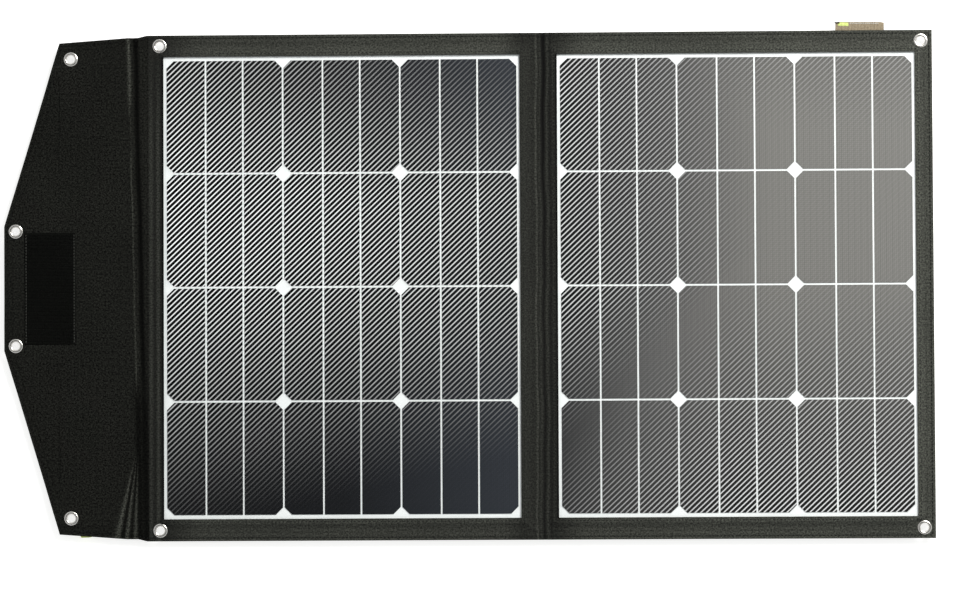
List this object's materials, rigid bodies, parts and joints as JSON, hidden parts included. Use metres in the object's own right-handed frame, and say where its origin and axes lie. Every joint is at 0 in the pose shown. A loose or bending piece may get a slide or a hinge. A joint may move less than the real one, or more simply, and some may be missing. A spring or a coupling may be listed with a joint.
{
  "type": "folding solar panel",
  "caption": "Folding fabric solar panel with two windows of strip-cut wafers, a creased centre fold, a trapezoid closing flap with hook tape, and eyelets at its corners.",
  "frame": {"origin": "centre of the bounding box in X and Y, at the face of the junction boxes that rests on the ground", "axes": "+X from the flap towards the right panel, +Y along the folds, +Z out of the front face that holds the cells"},
  "size_m": [1.036, 0.575, 0.0147],
  "materials": {
    "border_cloth": "woven polyester, dark grey-green, matt with a slight sheen",
    "back_cloth": "woven polyester, near black, matt",
    "flap_cloth": "woven polyester, near black, creased",
    "core_board": "stiff fibre board",
    "backsheet": "white polymer sheet",
    "wafer": "blue-black silicon with fine diagonal texture",
    "tinned_ribbon": "tinned copper ribbon",
    "front_film": "clear satin front film",
    "nickel": "bright nickel plate",
    "box_plastic": "moulded black plastic",
    "gland_rubber": "matt black rubber",
    "hook_tape": "black hook tape",
    "loop_tape": "black loop tape",
    "tag_tape": "tan woven tape",
    "side_tab_tape": "lime woven tape"
  },
  "bodies": {
    "left_panel": {"left_back_cover": "back_cloth", "left_front_border": "border_cloth", "left_core_board": "core_board", "left_backsheet": "backsheet", "left_wafer_1_1": "wafer", "left_wafer_1_2": "wafer", "left_wafer_1_3": "wafer", "left_wafer_2_1": "wafer", "left_wafer_2_2": "wafer", "left_wafer_2_3": "wafer", "left_wafer_3_1": "wafer", "left_wafer_3_2": "wafer", "left_wafer_3_3": "wafer", "left_wafer_4_1": "wafer", "left_wafer_4_2": "wafer", "left_wafer_4_3": "wafer", "left_bus_ribbon": "tinned_ribbon", "left_front_film": "front_film", "left_eyelet_top": "nickel", "left_eyelet_bottom": "nickel", "left_junction_box": "box_plastic", "left_junction_lid": "box_plastic", "cable_gland": "gland_rubber"},
    "right_panel": {"right_back_cover": "back_cloth", "right_front_border": "border_cloth", "right_core_board": "core_board", "right_backsheet": "backsheet", "right_wafer_1_1": "wafer", "right_wafer_1_2": "wafer", "right_wafer_1_3": "wafer", "right_wafer_2_1": "wafer", "right_wafer_2_2": "wafer", "right_wafer_2_3": "wafer", "right_wafer_3_1": "wafer", "right_wafer_3_2": "wafer", "right_wafer_3_3": "wafer", "right_wafer_4_1": "wafer", "right_wafer_4_2": "wafer", "right_wafer_4_3": "wafer", "right_bus_ribbon": "tinned_ribbon", "right_front_film": "front_film", "right_eyelet_top": "nickel", "right_eyelet_bottom": "nickel", "right_junction_box": "box_plastic", "right_junction_lid": "box_plastic", "loop_patch": "loop_tape", "hang_tag": "tag_tape"},
    "centre_spine": {"centre_spine_strip": "border_cloth"},
    "flap_spine": {"flap_spine_strip": "flap_cloth"},
    "flap": {"flap_outer": "flap_cloth", "flap_lining": "flap_cloth", "hook_patch": "hook_tape", "flap_side_tab": "side_tab_tape", "flap_eyelet_shoulder_top": "nickel", "flap_eyelet_shoulder_bottom": "nickel", "flap_eyelet_tip_top": "nickel", "flap_eyelet_tip_bottom": "nickel"}
  },
  "joints": [
    {"name": "centre_spine_fold", "type": "hinge", "parent": "left_panel", "child": "centre_spine", "pos_m": [0.0775, -0.005, 0.01025], "axis": [0, -1, 0], "range_deg": [0, 90]},
    {"name": "right_panel_fold", "type": "hinge", "parent": "centre_spine", "child": "right_panel", "pos_m": [0.0875, -0.005, 0.01025], "axis": [0, -1, 0], "range_deg": [0, 90]},
    {"name": "flap_spine_fold", "type": "hinge", "parent": "left_panel", "child": "flap_spine", "pos_m": [-0.364, -0.005, 0.01025], "axis": [0, 1, 0], "range_deg": [0, 90]},
    {"name": "flap_fold", "type": "hinge", "parent": "flap_spine", "child": "flap", "pos_m": [-0.38, -0.005, 0.01025], "axis": [0, 1, 0], "range_deg": [0, 90]}
  ],
  "couplings": [
    {"joint": "centre_spine_fold", "follows": "right_panel_fold", "ratio": 1},
    {"joint": "flap_spine_fold", "follows": "flap_fold", "ratio": 1}
  ]
}
